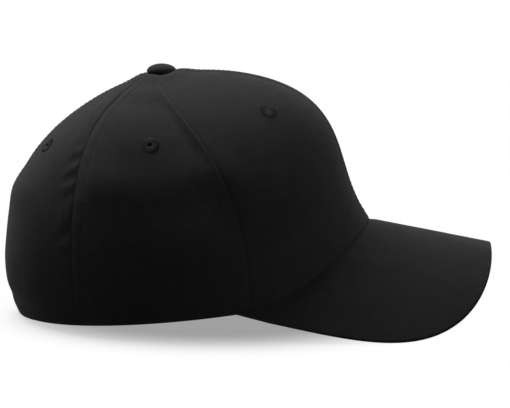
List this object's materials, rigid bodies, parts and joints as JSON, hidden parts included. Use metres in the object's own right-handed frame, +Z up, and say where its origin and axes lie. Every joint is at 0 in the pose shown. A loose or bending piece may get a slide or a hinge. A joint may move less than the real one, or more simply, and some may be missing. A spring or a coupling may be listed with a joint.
{
  "type": "bump cap",
  "caption": "Black six-panel fabric cap with a curved visor and closed back, worn over a lift-out protective shell with a petalled foam liner.",
  "frame": {"origin": "middle of the head opening, on the plane the cap rests on", "axes": "+X forward along the visor, +Y to the wearer's left, +Z up towards the button"},
  "size_m": [0.294, 0.1768, 0.1513],
  "materials": {
    "cloth": "black cotton twill with a slight stretch, brushed and matt",
    "buckram": "stiff open-weave lining cloth",
    "tape": "plain woven seam tape",
    "thread": "satin-stitched black thread",
    "steel": "bare pressed steel",
    "board": "polyethylene board",
    "band": "soft woven stretch band",
    "pile": "hook or loop pile",
    "shell": "moulded with a fine texture",
    "foam": "closed-cell foam, matt"
  },
  "bodies": {
    "liner": {"foam_liner": "foam", "liner_loop_patches": "pile"},
    "shell": {"insert_shell": "shell", "shell_hook_patches": "pile", "shell_inner_patches": "pile"},
    "cover": {"front_panel_right": "cloth", "front_panel_left": "cloth", "side_panel_right": "cloth", "side_panel_left": "cloth", "back_panel_right": "cloth", "back_panel_left": "cloth", "front_buckram_right": "buckram", "front_buckram_left": "buckram", "front_seam_tape": "tape", "back_seam_tape": "tape", "front_side_tape_right": "tape", "front_side_tape_left": "tape", "side_back_tape_right": "tape", "side_back_tape_left": "tape", "vent_eyelets": "thread", "button_cap": "cloth", "button_rivet": "steel", "button_washer": "steel", "visor_top_cover": "cloth", "visor_board": "board", "visor_under_cover": "cloth", "sweatband": "band", "crown_loop_patches": "pile"}
  },
  "joints": [
    {"name": "shell_lift", "type": "slide", "parent": "liner", "child": "shell", "axis": [0, 0, 1], "range_m": [0, 0.1]},
    {"name": "cover_lift", "type": "slide", "parent": "shell", "child": "cover", "axis": [0, 0, 1], "range_m": [0, 0.15]}
  ]
}
